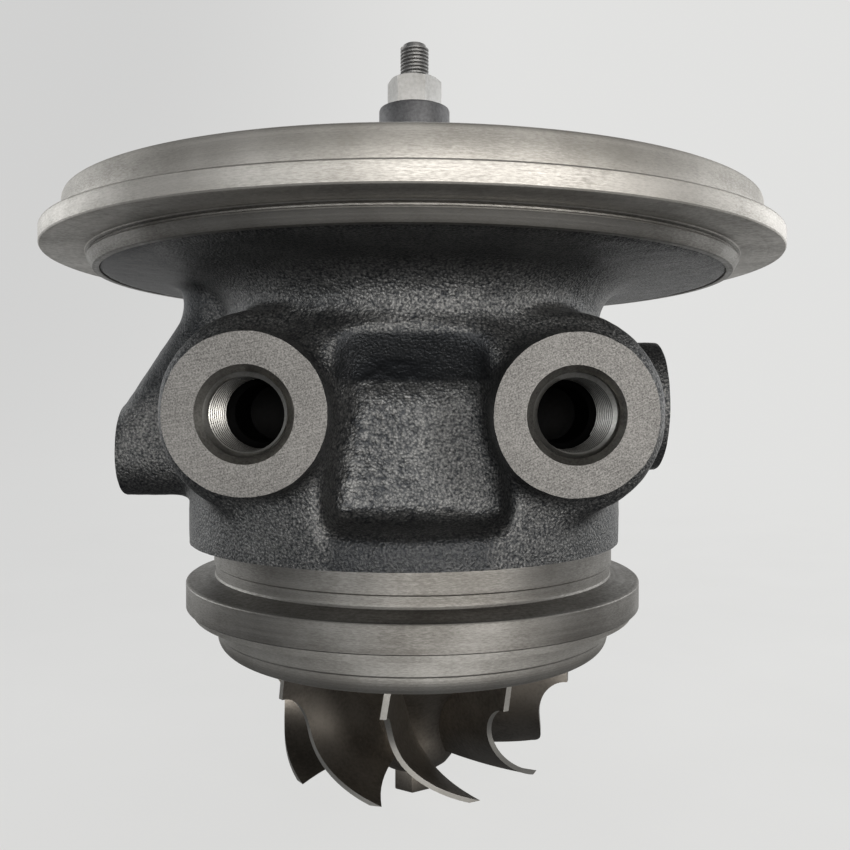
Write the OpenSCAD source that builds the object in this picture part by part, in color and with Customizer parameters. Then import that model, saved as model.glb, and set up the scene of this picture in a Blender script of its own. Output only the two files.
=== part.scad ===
// Turbo cartridge: bearing housing with a floating-bush rotor.
// Millimetres. Shaft on +Z with the compressor end up, water ports to -Y.
// Origin: shaft axis at the lower face of the turbine flange.

/* [Compressor flange] */
// radius of the flange rim
rim_r = 74; // [66:0.5:84]
// radius of the locating spigot above the rim
spigot_r = 70; // [60:0.5:80]
// height of the flange rim's lower face
rim_z = 70.1; // [66:0.1:76]
// thickness of the rim
rim_t = 3.5; // [2:0.1:6]
// height of the spigot above the rim
spigot_h = 6; // [3:0.1:9]
// radius of the turned step under the rim
step_r = 65.8; // [58:0.1:72]

/* [Casting] */
// radius of the neck under the flange
neck_r = 38.7; // [34:0.1:44]
// fillet between the neck and the flange
neck_fillet = 8; // [3:0.5:10]
// radius of the cast barrel
barrel_r = 45; // [41:0.1:50]
// sideways shift of the barrel
barrel_shift = -1.8; // [-3:0.1:0]
// lower edge of the cast barrel
barrel_z = 13.2; // [11:0.1:18]
// top of the barrel's straight wall
shoulder_z = 44; // [36:0.5:48]

/* [Turbine flange] */
// radius of the turbine flange
vee_r = 47.4; // [43:0.1:54]
// thickness of the turbine flange at its rim
vee_t = 5.4; // [3:0.1:8]
// radius of the turned neck above the turbine flange
collar_r = 41.7; // [36:0.1:44]

/* [Water ports] */
// sideways distance of each water port from the shaft
port_x = 26.9; // [22:0.1:30]
// height of the water ports
port_z = 39.4; // [34:0.1:46]
// distance of the port faces in front of the shaft
port_y = 48; // [44:0.5:56]
// radius of the port bosses
port_boss_r = 13.6; // [11:0.1:16]
// radius of the port hole before threading shows
port_hole_r = 6.2; // [4:0.1:7.5]
// depth of the full port hole under its chamfer
port_depth = 16; // [10:0.5:20]

/* [Oil ports] */
// height of the oil inlet
inlet_z = 30.6; // [28:0.1:38]
// distance of the inlet face from the shaft
inlet_x = 61.2; // [54:0.1:68]
// radius of the inlet boss
inlet_boss_r = 9.2; // [8:0.1:12]
// radius of the inlet hole
inlet_hole_r = 5.2; // [3:0.1:6.5]
// height of the oil drain
drain_z = 40.8; // [36:0.1:44]
// distance of the drain face from the shaft
drain_x = 51.5; // [47:0.1:58]
// radius of the drain boss
drain_boss_r = 13.7; // [11:0.1:16]
// radius of the drain hole
drain_hole_r = 8.2; // [5:0.1:9.5]
// depth of the full oil holes under their chamfers
oil_depth = 12; // [8:0.5:14]

/* [Bearings] */
// radius of the shaft's journals
journal_r = 5; // [4:0.1:5.6]
// outer radius of the bushes
bush_r = 8; // [7.4:0.1:8.6]
// length of each bush
bush_len = 10; // [8:0.5:11]
// running clearance inside a bush, on the radius
bush_in_gap = 0.03; // [0.015:0.005:0.08]
// running clearance outside a bush, on the radius
bush_out_gap = 0.05; // [0.02:0.005:0.09]
// gap between a bush and its circlips
bush_end_gap = 0.3; // [0.2:0.05:0.5]
// height of the turbine bush above the shaft's shoulder
bush_low_gap = 4; // [3.6:0.1:5]
// lower end of the compressor bush below the thrust bearing
bush_drop = 15.6; // [15:0.1:16]
// thickness of a bush circlip
clip_t = 1; // [0.8:0.1:1.2]

/* [Thrust and seal] */
// height from the thrust bearing's lower face to the seal plate's top
stack_h = 12.7; // [12:0.1:13]
// thickness of the thrust bearing
thrust_t = 4; // [3:0.1:4.4]
// outer radius of the thrust bearing
thrust_r = 17; // [15:0.1:18.5]
// running gap on each side of the thrust bearing
thrust_gap = 0.1; // [0.05:0.01:0.2]
// outer radius of the seal plate
plate_r = 25; // [22:0.1:28]
// depth of the seal plate below the wheel's recess
plate_drop = 2.5; // [2.2:0.1:3.2]
// radius of the seal plate's shaft hole
plate_hole_r = 8.2; // [7.4:0.1:9]
// fitting gap between pieces of one body
fit_gap = 0.02; // [0.01:0.005:0.05]
// free gap around turning pieces
free_gap = 0.3; // [0.2:0.05:0.6]

/* [Turbine wheel] */
// number of turbine blades
turbine_blades = 9; // [7:1:12]
// tip radius where the gas enters
turbine_tip_r = 33.5; // [30:0.1:36]
// tip radius where the gas leaves
exducer_r = 27.5; // [22:0.1:30]
// turning of a turbine blade from entry to exit
turbine_wrap = 34.6; // [15:0.2:45]
// turned position of the first turbine blade
turbine_phase = -97; // [-180:1:180]
// thickness of a turbine blade at its tip
turbine_edge = 1.2; // [0.6:0.05:1.5]
// height of the blades from the wheel's back to their lowest corner
turbine_h = 24.2; // [21:0.1:28]
// length of the hub nose below the blades
nose_len = 7.4; // [6:0.1:10]

/* [Compressor wheel] */
// number of full compressor blades, with as many splitters
compressor_blades = 6; // [5:1:8]
// wheel radius at the rim
wheel_r = 34; // [30:0.1:36]
// blade tip radius where the air enters
inducer_r = 24.5; // [20:0.1:27]
// radius of the wheel's nose
wheel_nose_r = 7.5; // [6.5:0.1:9]
// height of the wheel's nose above its back
wheel_h = 25.9; // [22:0.1:28]
// height of the blades above the wheel's back
inducer_h = 13.1; // [10:0.1:14]
// blade height at the rim
tip_height = 4; // [3:0.1:6]
// turning of a compressor blade from entry to rim
compressor_wrap = 62; // [30:1:80]
// thickness of a compressor blade at its tip
compressor_edge = 0.7; // [0.5:0.05:1.2]

/* [Shaft end] */
// radius of the stub that carries the compressor wheel
stub_r = 3.2; // [3.1:0.1:4]
// radius of the threaded end
thread_r = 3; // [2.5:0.1:3]
// length of the thread past the nut
thread_past = 7.5; // [5:0.1:12]
// nut size across its flats
nut_af = 10; // [9:0.5:12]
// height of the nut
nut_h = 6.2; // [5:0.1:7]
// turned position of the nut
nut_turn = -7; // [-30:1:30]

/* [Hidden] */
$fn = 96;
eps = 0.01;
shoulder_h = 12;
shoulder_top = shoulder_z + shoulder_h;
spigot_z = rim_z + rim_t;
face_z = spigot_z + spigot_h;
under_z = rim_z - 3.8;
recess_d = 2.4;
recess_z = face_z - recess_d;
plate_z = recess_z - plate_drop;
thrust_z = plate_z - stack_h;
recess_r = wheel_r + 0.6;
nose_h = 7.9;
nose_end = -nose_h;
nose_r = 16;
seal_bore_r = bush_r + 0.6;
land_r = bush_r + bush_out_gap;
bush_hole_r = journal_r + bush_in_gap;
clip_r = bush_r + 0.7;
boss_top = 9;
bush_low_z = boss_top + bush_low_gap;
bush_high_z = thrust_z - bush_drop;
cavity_r = 14;
cavity_end = 3;
cavity_low = bush_low_z + bush_len + cavity_end;
cavity_high = bush_high_z - cavity_end + 0.6;
washer_r = 10;
washer_t = 2;
washer_top = thrust_z - thrust_gap;
washer_low = washer_top - washer_t;
land_top = washer_low - 0.5;
thrust_top = thrust_z + thrust_t;
collar_low = thrust_top + thrust_gap;
collar_flange_t = 2;
sleeve_low = collar_low + collar_flange_t;
sleeve_r = plate_hole_r - free_gap;
sleeve_top = recess_z - 0.2;
collar_sleeve_r = 6;
deflector_t = 0.8;
deflector_top = thrust_top + deflector_t;
plate_low = deflector_top + 2.2;
plate_room_r = washer_r + 2;
plate_room_z = plate_low + 2;
clip_ring_t = 1.3;
groove_gap = 0.05;
seal_ring_t = 1.6;
seal_ring_z = plate_z - 2.7;
turbine_ring_z = 2;
turbine_ring_t = 1.8;
boss_r = seal_bore_r - 0.15;
o_ring_r = 0.94;
o_ring_z = plate_z - 2.3;
wheel_back = recess_z + 0.7;
disc_t = 0.9;
inducer_z = wheel_back + inducer_h;
wheel_top = wheel_back + wheel_h;
stub_top = wheel_top - 1.5;
shaft_top = wheel_top + nut_h + thread_past;
shield_t = 1.2;
shield_low = nose_end - shield_t;
shield_gap = 0.3;
shield_rim_r = vee_r - 1.4;
shield_bend = 3;
shield_step = 2.3;
wheel_low_back = shield_low - 0.8;
exducer_z = wheel_low_back - turbine_h;
nose_z = exducer_z - nose_len;
screw_r = 1.5;
screw_ring_r = 13;
screw_deep = 5.8;
flare_r = 5;
flare_set = 3;
boss_len = 30;
rib_x = 40;
rib_r = 9;
rib_z = shoulder_z + 2;
rib_h = 13.7;
pocket_soft = 2.5;
pocket_left = 14;
pocket_right = 13;
pocket_low_left = 17;
pocket_low_right = 19;
floor_left = 10;
floor_right = 12.4;
floor_low_left = 14.2;
floor_low_right = 16.9;
pocket_y = 33.5;
pocket_lip_y = 46;
pocket_top = shoulder_z + 17.6;
pocket_low = barrel_z + 4.3;
floor_top = shoulder_z + 0.9;
floor_low = barrel_z + 7;
jacket_in = 18;
jacket_out = 29.5;
jacket_edge = 2;
jacket_low = barrel_z + 3.8;
jacket_high = port_z + 5.6;
way_x = 34;
way_r = 1.8;
way_end = 7;
way_in_r = 2.2;
way_in_x = 46;
way_in_end = 30;
drain_way_x = 13;
drain_way_end = 32;
drain_way_r = 3.4;
port_mouth_r = 8.15;
port_core_r = 5.4;
inlet_core_r = 2.5;
inlet_reach = 18;
drain_core_r = 7.2;
port_stop = 12;
drain_stop = 13;
oil_groove_w = 1.2;
oil_groove_d = 0.4;

// a cylinder from point a to point b
module rod(a, b, r) {
    d = b - a;
    flat = norm([d[0], d[1]]);
    translate(a)
        rotate([0, atan2(flat, d[2]), atan2(d[1], d[0])])
            cylinder(r = r, h = norm(d));
}

// a plain ring between two heights
module ring(outer, inner, low, high) {
    difference() {
        translate([0, 0, low])
            cylinder(r = outer, h = high - low);
        translate([0, 0, low - 1])
            cylinder(r = inner, h = high - low + 2);
    }
}

// a ring with a gap cut at one angle
module split_ring(outer, inner, low, high, gap, turn) {
    difference() {
        ring(outer, inner, low, high);
        rotate([0, 0, turn])
            translate([0, -gap / 2, low - 1])
                cube([outer + 1, gap, high - low + 2]);
    }
}

// points of a concave quarter arc from angle a to angle b
function arc(cx, cy, r, a, b, n) = [for (i = [0:n]) [cx + r * cos(a + (b - a) * i / n),
    cy + r * sin(a + (b - a) * i / n)]];

// turned flange with its spigot, steps, fillet and neck
module flange_solid() {
    fillet_x = neck_r + neck_fillet;
    fillet_z = under_z - neck_fillet - 0.6;
    rotate_extrude()
        polygon(concat(
            [[0, shoulder_z], [neck_r, shoulder_z]],
            arc(fillet_x, fillet_z, neck_fillet, 180, 95, 16),
            [[step_r - 1, under_z + 0.4], [step_r - 0.7, under_z + 0.9], [step_r, under_z + 1.6],
             [step_r, rim_z - 1], [step_r - 0.4, rim_z - 0.8], [step_r - 0.4, rim_z - 0.5],
             [step_r, rim_z - 0.3], [step_r + 0.3, rim_z],
             [rim_r - 0.4, rim_z], [rim_r, rim_z + 0.4], [rim_r, spigot_z - 0.4],
             [rim_r - 0.4, spigot_z], [spigot_r, spigot_z], [spigot_r, face_z - 0.6],
             [spigot_r - 0.6, face_z],
             [0, face_z]]));
}

// cast barrel with its rounded shoulder
module barrel_solid() {
    drop = shoulder_top - shoulder_z;
    slim = neck_r - 1;
    translate([barrel_shift, 0, 0])
        rotate_extrude()
            polygon(concat(
                [[0, barrel_z], [barrel_r - 0.6, barrel_z], [barrel_r, barrel_z + 0.8]],
                [for (i = [0:12]) [slim + (barrel_r - slim) * cos(i * 7.5) ,
                    shoulder_z + drop * sin(i * 7.5)]],
                [[0, shoulder_top]]));
}

// turned turbine end: flange, neck and the nose that carries the heat shield
module turbine_end_solid() {
    rotate_extrude()
        polygon([[0, nose_end], [nose_r - 0.5, nose_end], [nose_r, nose_end + 0.5], [nose_r, 0], [vee_r, 0],
            [vee_r, vee_t - 0.4], [vee_r - 0.4, vee_t], [collar_r + 0.4, vee_t + 0.7],
            [collar_r - 0.2, vee_t + 1.2], [collar_r - 0.2, vee_t + 3.2], [collar_r + 0.1, vee_t + 3.4],
            [collar_r + 0.1, barrel_z + 1], [0, barrel_z + 1]]);
}

// one front boss with the flare that blends it into the casting
module port_flare(side) {
    root = port_boss_r + flare_r;
    translate([side * port_x, -port_y, port_z])
        rotate([-90, 0, 0])
            rotate_extrude()
                polygon(concat(
                    [[0, 0.5], [port_boss_r - 0.4, 0.5], [port_boss_r, 0.9]],
                    arc(root, flare_r + flare_set, flare_r, 180, 90, 10),
                    [[root, port_y / 2], [0, boss_len]]));
}

module port_boss(side) {
    translate([side * port_x, -port_y, port_z])
        rotate([-90, 0, 0])
            cylinder(r = port_boss_r, h = boss_len);
}

// left boss and the slanted rib over its oil gallery
module inlet_solid() {
    hull() {
        translate([-inlet_x + 1, 0, inlet_z])
            rotate([0, 90, 0])
                cylinder(r = inlet_boss_r - 0.2, h = boss_len - 10, $fn = 40);
        translate([-rib_x, 0, rib_z])
            cylinder(r = rib_r, h = rib_h, $fn = 40);
    }
    translate([-rib_x, 0, rib_z])
        cylinder(r = rib_r, h = under_z + 0.4 - rib_z);
    translate([-inlet_x, 0, inlet_z])
        rotate([0, 90, 0])
            cylinder(r = inlet_boss_r, h = boss_len);
}

module drain_solid() {
    root = drain_boss_r + flare_r;
    rise = drain_x - 13.5;
    translate([0, 0, drain_z])
        rotate([0, 90, 0])
            rotate_extrude()
                polygon(concat(
                    [[0, rise - 18], [root, rise - 18], [root, rise]],
                    arc(root, rise + flare_r, flare_r, 270, 180, 8),
                    [[drain_boss_r, drain_x - 0.5], [drain_boss_r - 0.5, drain_x], [0, drain_x]]));
}

// rounded trapezoid hollow between the two front bosses
module front_pocket() {
    s = pocket_soft;
    lip = [[-pocket_left + s, pocket_top - s], [pocket_right - s, pocket_top - s]];
    sill = [[-pocket_low_left + s, pocket_low + s], [pocket_low_right - s, pocket_low + s]];
    floor = [[-floor_left + s, floor_top - s], [floor_right - s, floor_top - s],
        [-floor_low_left + s, floor_low + s], [floor_low_right - s, floor_low + s]];
    hull() {
        for (p = lip, y = [pocket_lip_y, port_y + 8])
            translate([p[0], -y, p[1]])
                sphere(r = s, $fn = 24);
        for (p = sill)
            translate([p[0], -port_y - 8, p[1]])
                sphere(r = s, $fn = 24);
        for (p = floor)
            translate([p[0], -pocket_y - s, p[1]])
                sphere(r = s, $fn = 24);
    }
}

// a port hole: chamfer, full hole and a smaller passage behind it, along +Z from z = 0
module port_hole(mouth, hole, depth, core, reach) {
    chamfer = mouth - hole;
    translate([0, 0, -1])
        cylinder(r1 = mouth + 1, r2 = mouth, h = 1);
    cylinder(r1 = mouth, r2 = hole, h = chamfer);
    translate([0, 0, chamfer - eps])
        cylinder(r = hole, h = depth + eps);
    translate([0, 0, chamfer + depth - eps])
        cylinder(r1 = hole, r2 = core, h = hole - core + eps);
    translate([0, 0, chamfer + depth])
        cylinder(r = core, h = reach - chamfer - depth);
}

// turned bores along the shaft
module housing_bores() {
    rotate_extrude()
        polygon([[0, nose_end - 1], [seal_bore_r + 0.4, nose_end - 1], [seal_bore_r + 0.4, nose_end],
            [seal_bore_r, nose_end + 0.4], [seal_bore_r, 9.5], [land_r, 9.5], [land_r, cavity_low],
            [cavity_r, cavity_low], [cavity_r, cavity_high], [land_r, cavity_high],
            [land_r, land_top], [washer_r + 1, land_top], [washer_r + 1, thrust_z],
            [thrust_r, thrust_z], [thrust_r, plate_low], [plate_r, plate_low], [plate_r, recess_z],
            [recess_r, recess_z], [recess_r, face_z + 1], [0, face_z + 1]]);
    for (z = clip_heights())
        ring(clip_r + groove_gap, 2, z - groove_gap, z + clip_t + groove_gap);
    ring(plate_r + 1.4, 20, plate_z, plate_z + clip_ring_t + groove_gap);
}

// heights of the four bush circlips
function clip_heights() = [bush_low_z - bush_end_gap - clip_t, bush_low_z + bush_len + bush_end_gap,
    bush_high_z - bush_end_gap - clip_t, bush_high_z + bush_len + bush_end_gap];

// curved water space around the turbine end, open to both front ports
module water_jacket() {
    rotate([0, 0, -150])
        rotate_extrude(angle = 120)
            polygon([[jacket_in, jacket_low], [jacket_out - jacket_edge, jacket_low],
                [jacket_out, jacket_low + jacket_edge], [jacket_out, jacket_high - jacket_edge],
                [jacket_out - jacket_edge, jacket_high], [jacket_in, jacket_high]]);
}

// drilled oil ways
module oil_ways() {
    mid_low = bush_low_z + bush_len / 2;
    mid_high = bush_high_z + bush_len / 2;
    rod([-way_in_x, 0, inlet_z], [-way_in_end, 0, inlet_z], way_in_r);
    rod([-way_x, 0, inlet_z], [-way_end, 0, mid_low], way_r);
    rod([-way_x, 0, inlet_z], [-way_end, 0, mid_high], way_r);
    rod([drain_way_x, 0, thrust_z + 1], [drain_way_end, 0, drain_z + 2], drain_way_r);
}

module bearing_housing() {
    color([0.16, 0.16, 0.17])
    difference() {
        union() {
            difference() {
                union() {
                    flange_solid();
                    barrel_solid();
                    inlet_solid();
                    drain_solid();
                    for (side = [-1, 1])
                        port_flare(side);
                }
                front_pocket();
            }
            turbine_end_solid();
            for (side = [-1, 1])
                port_boss(side);
        }
        housing_bores();
        water_jacket();
        oil_ways();
        for (side = [-1, 1])
            translate([side * port_x, -port_y, port_z])
                rotate([-90, 0, 0])
                    port_hole(port_mouth_r, port_hole_r, port_depth, port_core_r, port_y - port_stop);
        translate([-inlet_x, 0, inlet_z])
            rotate([0, 90, 0])
                port_hole(inlet_hole_r + 1, inlet_hole_r, oil_depth, inlet_core_r, inlet_reach);
        translate([drain_x, 0, drain_z])
            rotate([0, -90, 0])
                port_hole(drain_hole_r + 1.2, drain_hole_r, oil_depth, drain_core_r, drain_x - drain_stop);
        for (turn = [30, 150, 270])
            rotate([0, 0, turn])
                translate([screw_ring_r, 0, thrust_z - screw_deep - 0.2])
                    cylinder(r = screw_r + fit_gap, h = screw_deep + 1.2);
    }
}

// pressed cup with an outer rim, a drawn wall and a flat bottom
module heat_shield() {
    t = shield_t;
    top = -shield_gap;
    wall = collar_r - 0.2;
    bend = wall - shield_bend - 0.4;
    low = shield_low + shield_bend;
    step = nose_end + shield_step;
    color([0.66, 0.65, 0.62])
    rotate_extrude()
        polygon(concat(
            [[shield_rim_r, top], [shield_rim_r, top - t], [wall + 0.5, top - t],
             [wall, top - t - 0.5], [wall, step + 0.4], [wall - 0.4, step]],
            arc(bend, low, shield_bend, 0, -90, 10),
            [[seal_bore_r + 0.6, shield_low], [seal_bore_r + 0.6, nose_end], [bend, nose_end]],
            arc(bend, low, shield_bend - t, -90, 0, 8),
            [[wall - t - 0.4, step + 0.4], [wall - t, step + 0.8], [wall - t, top - 0.6],
             [wall - t + 0.6, top]]));
}

// two triangles that close a strip between four point numbers
function strip(a, b, c, d) = [[a, b, c], [a, c, d]];

// one blade between two grids of points, nu stations along it and nv across it
module blade_solid(a, b, nu, nv) {
    n = nu * nv;
    end = n - nv;
    rows = [for (i = [0:nu - 2]) i * nv];
    cols = [0:nv - 2];
    polyhedron(points = concat(a, b), faces = concat(
        [for (i = rows, j = cols) each strip(i + j, i + nv + j, i + nv + j + 1, i + j + 1)],
        [for (i = rows, j = cols) each strip(n + i + j, n + i + j + 1, n + i + nv + j + 1, n + i + nv + j)],
        [for (j = cols) each strip(j, j + 1, n + j + 1, n + j)],
        [for (j = cols) each strip(end + j, n + end + j, n + end + j + 1, end + j + 1)],
        [for (i = rows) each strip(i, n + i, n + i + nv, i + nv)],
        [for (i = rows) each strip(i + nv - 1, i + 2 * nv - 1, n + i + 2 * nv - 1, n + i + nv - 1)]));
}

// a point at radius, height and angle
function polar(r, z, angle) = [r * cos(angle), r * sin(angle), z];
function mix(a, b, t) = a + (b - a) * t;

// turbine blade: hub line, tip line and the angle that both share at each station
hub_top = wheel_low_back - 1.3;
hub_low = exducer_z + 2.6;
tip_drop = 18.6;
tip_top = exducer_z + tip_drop;
tip_curve_h = 7.5;
blade_lean = 1.6;
wrap_power = 3.1;
hub_exit_r = 9.4;
tip_nose_r = 4.3;
scallop_r = 9;
function turbine_hub(u) = [turbine_tip_r - (turbine_tip_r - hub_exit_r + 1) * sin(90 * u),
    hub_low + (hub_top + 0.7 - hub_low) * cos(90 * u)];
function turbine_tip(u) = u < 0.5
    ? [turbine_tip_r - (turbine_tip_r - exducer_r) * sin(180 * u),
       tip_top - tip_curve_h * (1 - cos(180 * u))]
    : [exducer_r, mix(tip_top - tip_curve_h, exducer_z, 2 * u - 1)];
function turbine_fall(z) = max(0, (tip_top - z) / tip_drop);
function turbine_turn(z) = turbine_wrap * pow(turbine_fall(z), wrap_power)
    - blade_lean * min(1, max(0, (wheel_low_back - z) / (wheel_low_back - tip_top)));
// how much wider a slanted blade is when it is measured round the shaft
function turbine_slant(r, z) = min(2.8, norm([1, r * turbine_wrap * wrap_power / tip_drop
    * pow(turbine_fall(z), wrap_power - 1) * PI / 180]));
function turbine_grid(nu, nv, side) = [for (i = [0:nu - 1], j = [0:nv - 1])
    let (u = i / (nu - 1), v = j / (nv - 1),
         p = mix(turbine_hub(u), turbine_tip(u), v),
         half = mix(1.1, turbine_edge / 2, v) * mix(1, 0.7, u) * turbine_slant(p[0], p[1]))
    polar(p[0], p[1], turbine_turn(p[1]) + side * half / p[0] * 57.3)];

module turbine_hub_solid() {
    rotate_extrude()
        polygon(concat(
            [[0, 0], [boss_r, 0], [boss_r, wheel_low_back + 1], [boss_r + 1, wheel_low_back]],
            [[turbine_tip_r - 1.5, wheel_low_back], [turbine_tip_r - 1.5, hub_top + 0.1]],
            [for (i = [1:14]) let (t = i * 6) [turbine_tip_r - (turbine_tip_r - hub_exit_r) * sin(t),
                hub_low + (hub_top - hub_low) * cos(t)]],
            [[hub_exit_r - 0.3, hub_low - 1], [hub_exit_r - 1.8, hub_low - 3.6],
             [tip_nose_r + 0.6, hub_low - 5.2], [tip_nose_r - 0.6, hub_low - 5.5], [0, hub_low - 5.5]]));
    translate([0, 0, nose_z])
        cylinder(r = tip_nose_r, h = hub_low - 5 - nose_z, $fn = 6);
}

module turbine_wheel() {
    color([0.34, 0.31, 0.28])
    union() {
        difference() {
            turbine_hub_solid();
            for (i = [0:turbine_blades - 1])
                rotate([0, 0, turbine_phase + (i + 0.5) * 360 / turbine_blades])
                    translate([turbine_tip_r + 1, 0, hub_low])
                        cylinder(r = scallop_r, h = turbine_h + nose_h);
        }
        for (i = [0:turbine_blades - 1])
            rotate([0, 0, turbine_phase + i * 360 / turbine_blades])
                blade_solid(turbine_grid(17, 4, 1), turbine_grid(17, 4, -1), 17, 4);
    }
}

module rotor_shaft() {
    relief = journal_r - 0.3;
    color([0.6, 0.6, 0.61])
    rotate_extrude()
        polygon([[0, 0], [boss_r, 0], [boss_r, turbine_ring_z - groove_gap],
            [boss_r - 1.6, turbine_ring_z - groove_gap],
            [boss_r - 1.6, turbine_ring_z + turbine_ring_t + groove_gap],
            [boss_r, turbine_ring_z + turbine_ring_t + groove_gap], [boss_r, boss_top - 0.5],
            [boss_r - 0.5, boss_top], [journal_r, boss_top], [journal_r, bush_low_z + bush_len + 2],
            [relief, bush_low_z + bush_len + 2.3], [relief, bush_high_z - 2.3],
            [journal_r, bush_high_z - 2], [journal_r, washer_low], [stub_r, washer_low],
            [stub_r, stub_top], [thread_r, stub_top], [thread_r, shaft_top - 0.6],
            [thread_r - 0.6, shaft_top], [0, shaft_top]]);
}

module turbine_seal_ring() {
    color([0.45, 0.45, 0.46])
        split_ring(seal_bore_r - fit_gap, boss_r - 1.3, turbine_ring_z,
            turbine_ring_z + turbine_ring_t, 0.4, 40);
}

// floating bush with four cross oil holes
module floating_bush(low) {
    color([0.72, 0.56, 0.25])
    difference() {
        ring(bush_r, bush_hole_r, low, low + bush_len);
        for (turn = [0, 90])
            translate([0, 0, low + bush_len / 2])
                rotate([0, 90, turn])
                    cylinder(r = 1.1, h = 2 * bush_r + 2, center = true);
    }
}

module turbine_bush() {
    floating_bush(bush_low_z);
}

module compressor_bush() {
    floating_bush(bush_high_z);
}

module bush_circlips() {
    color([0.3, 0.3, 0.31])
    for (z = clip_heights())
        split_ring(clip_r, journal_r + 1.5, z, z + clip_t, 3, 0);
}

module thrust_washer() {
    color([0.62, 0.62, 0.63])
        ring(washer_r, stub_r + fit_gap, washer_low, washer_top);
}

module thrust_collar() {
    color([0.6, 0.6, 0.62])
    union() {
        ring(collar_sleeve_r, stub_r + fit_gap, washer_top, collar_low);
        ring(washer_r, stub_r + fit_gap, collar_low, sleeve_low);
    }
}

// bronze thrust plate with shallow oil grooves and three screw holes
module thrust_bearing() {
    color([0.74, 0.58, 0.28])
    difference() {
        ring(thrust_r - fit_gap, collar_sleeve_r + free_gap, thrust_z, thrust_top);
        for (turn = [30, 150, 270])
            rotate([0, 0, turn]) {
                translate([screw_ring_r, 0, thrust_z - 1])
                    cylinder(r = screw_r + fit_gap, h = thrust_t + 2);
                translate([screw_ring_r, 0, thrust_top - 1.6])
                    cylinder(r = screw_r + 1.2, h = 3);
            }
        for (turn = [0, 60, 120])
            rotate([0, 0, turn])
                translate([0.5 - washer_r, -oil_groove_w / 2, thrust_top - oil_groove_d])
                    cube([2 * washer_r - 1, oil_groove_w, 1]);
    }
}

module thrust_screws() {
    color([0.25, 0.25, 0.26])
    for (turn = [30, 150, 270])
        rotate([0, 0, turn])
            translate([screw_ring_r, 0, 0])
                difference() {
                    union() {
                        translate([0, 0, thrust_z - screw_deep])
                            cylinder(r = screw_r, h = screw_deep + thrust_t - 0.8);
                        translate([0, 0, thrust_top - 1.6])
                            cylinder(r = screw_r + 1, h = 1.5);
                    }
                    translate([0, 0, thrust_top - 1])
                        cylinder(r = 1.1, h = 2, $fn = 6);
                }
}

// thin pressed ring that keeps thrown oil off the seal
module oil_deflector() {
    color([0.58, 0.58, 0.6])
        ring(thrust_r - fit_gap, washer_r + 0.6, thrust_top, deflector_top);
}

module seal_plate() {
    edge = plate_r - fit_gap;
    skirt = thrust_r - fit_gap;
    groove = edge - 2 * o_ring_r - 0.02;
    half = o_ring_r + 0.1;
    color([0.66, 0.66, 0.67])
    rotate_extrude()
        polygon([[plate_room_r, deflector_top], [skirt, deflector_top], [skirt, plate_low],
            [edge, plate_low], [edge, o_ring_z - half], [groove, o_ring_z - half],
            [groove, o_ring_z + half], [edge, o_ring_z + half], [edge, plate_z - 0.3],
            [edge - 0.3, plate_z], [plate_hole_r + 0.3, plate_z], [plate_hole_r, plate_z - 0.3],
            [plate_hole_r, plate_room_z], [plate_room_r, plate_room_z]]);
}

module seal_plate_o_ring() {
    color([0.05, 0.05, 0.05])
    rotate_extrude()
        translate([plate_r - fit_gap - o_ring_r, o_ring_z])
            circle(r = o_ring_r, $fn = 32);
}

module seal_plate_circlip() {
    color([0.22, 0.22, 0.23])
        split_ring(plate_r + 1.3, plate_r - 2.4, plate_z, plate_z + clip_ring_t, 9, 90);
}

// spacer sleeve with its oil flinger and the seal ring's groove
module seal_sleeve() {
    hole = stub_r + fit_gap;
    ring_low = seal_ring_z - groove_gap;
    ring_high = seal_ring_z + seal_ring_t + groove_gap;
    color([0.6, 0.6, 0.62])
    rotate_extrude()
        polygon([[hole, sleeve_low], [sleeve_r - 1, sleeve_low], [sleeve_r - 1, sleeve_low + 0.5],
            [washer_r + 1, sleeve_low + 0.5], [washer_r + 1, sleeve_low + 1.8],
            [sleeve_r, sleeve_low + 1.8], [sleeve_r, ring_low], [sleeve_r - 1.3, ring_low],
            [sleeve_r - 1.3, ring_high], [sleeve_r, ring_high], [sleeve_r, sleeve_top],
            [hole, sleeve_top]]);
}

module compressor_seal_ring() {
    color([0.45, 0.45, 0.46])
        split_ring(plate_hole_r - fit_gap, sleeve_r - 1, seal_ring_z,
            seal_ring_z + seal_ring_t, 0.4, 220);
}

// compressor blade: hub line, tip line and the angle along it
blade_rim = wheel_r - 0.25;
root_r = wheel_nose_r - 0.8;
root_z = wheel_back + 0.3;
tip_z = wheel_back + disc_t + tip_height;
function compressor_hub(u) = [blade_rim - (blade_rim - root_r) * cos(90 * u),
    inducer_z + 1 - (inducer_z + 1 - root_z) * sin(90 * u)];
function compressor_tip(u) = [blade_rim - (blade_rim - inducer_r) * cos(90 * u),
    inducer_z - (inducer_z - tip_z) * sin(90 * u)];
function compressor_turn(u) = compressor_wrap * (0.75 * u + 0.25 * u * u);
function compressor_grid(nu, nv, start, side) = [for (i = [0:nu - 1], j = [0:nv - 1])
    let (u = mix(start, 1, i / (nu - 1)), v = j / (nv - 1),
         p = mix(compressor_hub(u), compressor_tip(u), v),
         half = mix(0.9, compressor_edge / 2, v) * mix(0.7, 1, min(1, 5 * (u - start))) * 1.2)
    polar(p[0], p[1], compressor_turn(u) - 10 * (1 - u) * v + side * half / p[0] * 57.3)];

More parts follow.
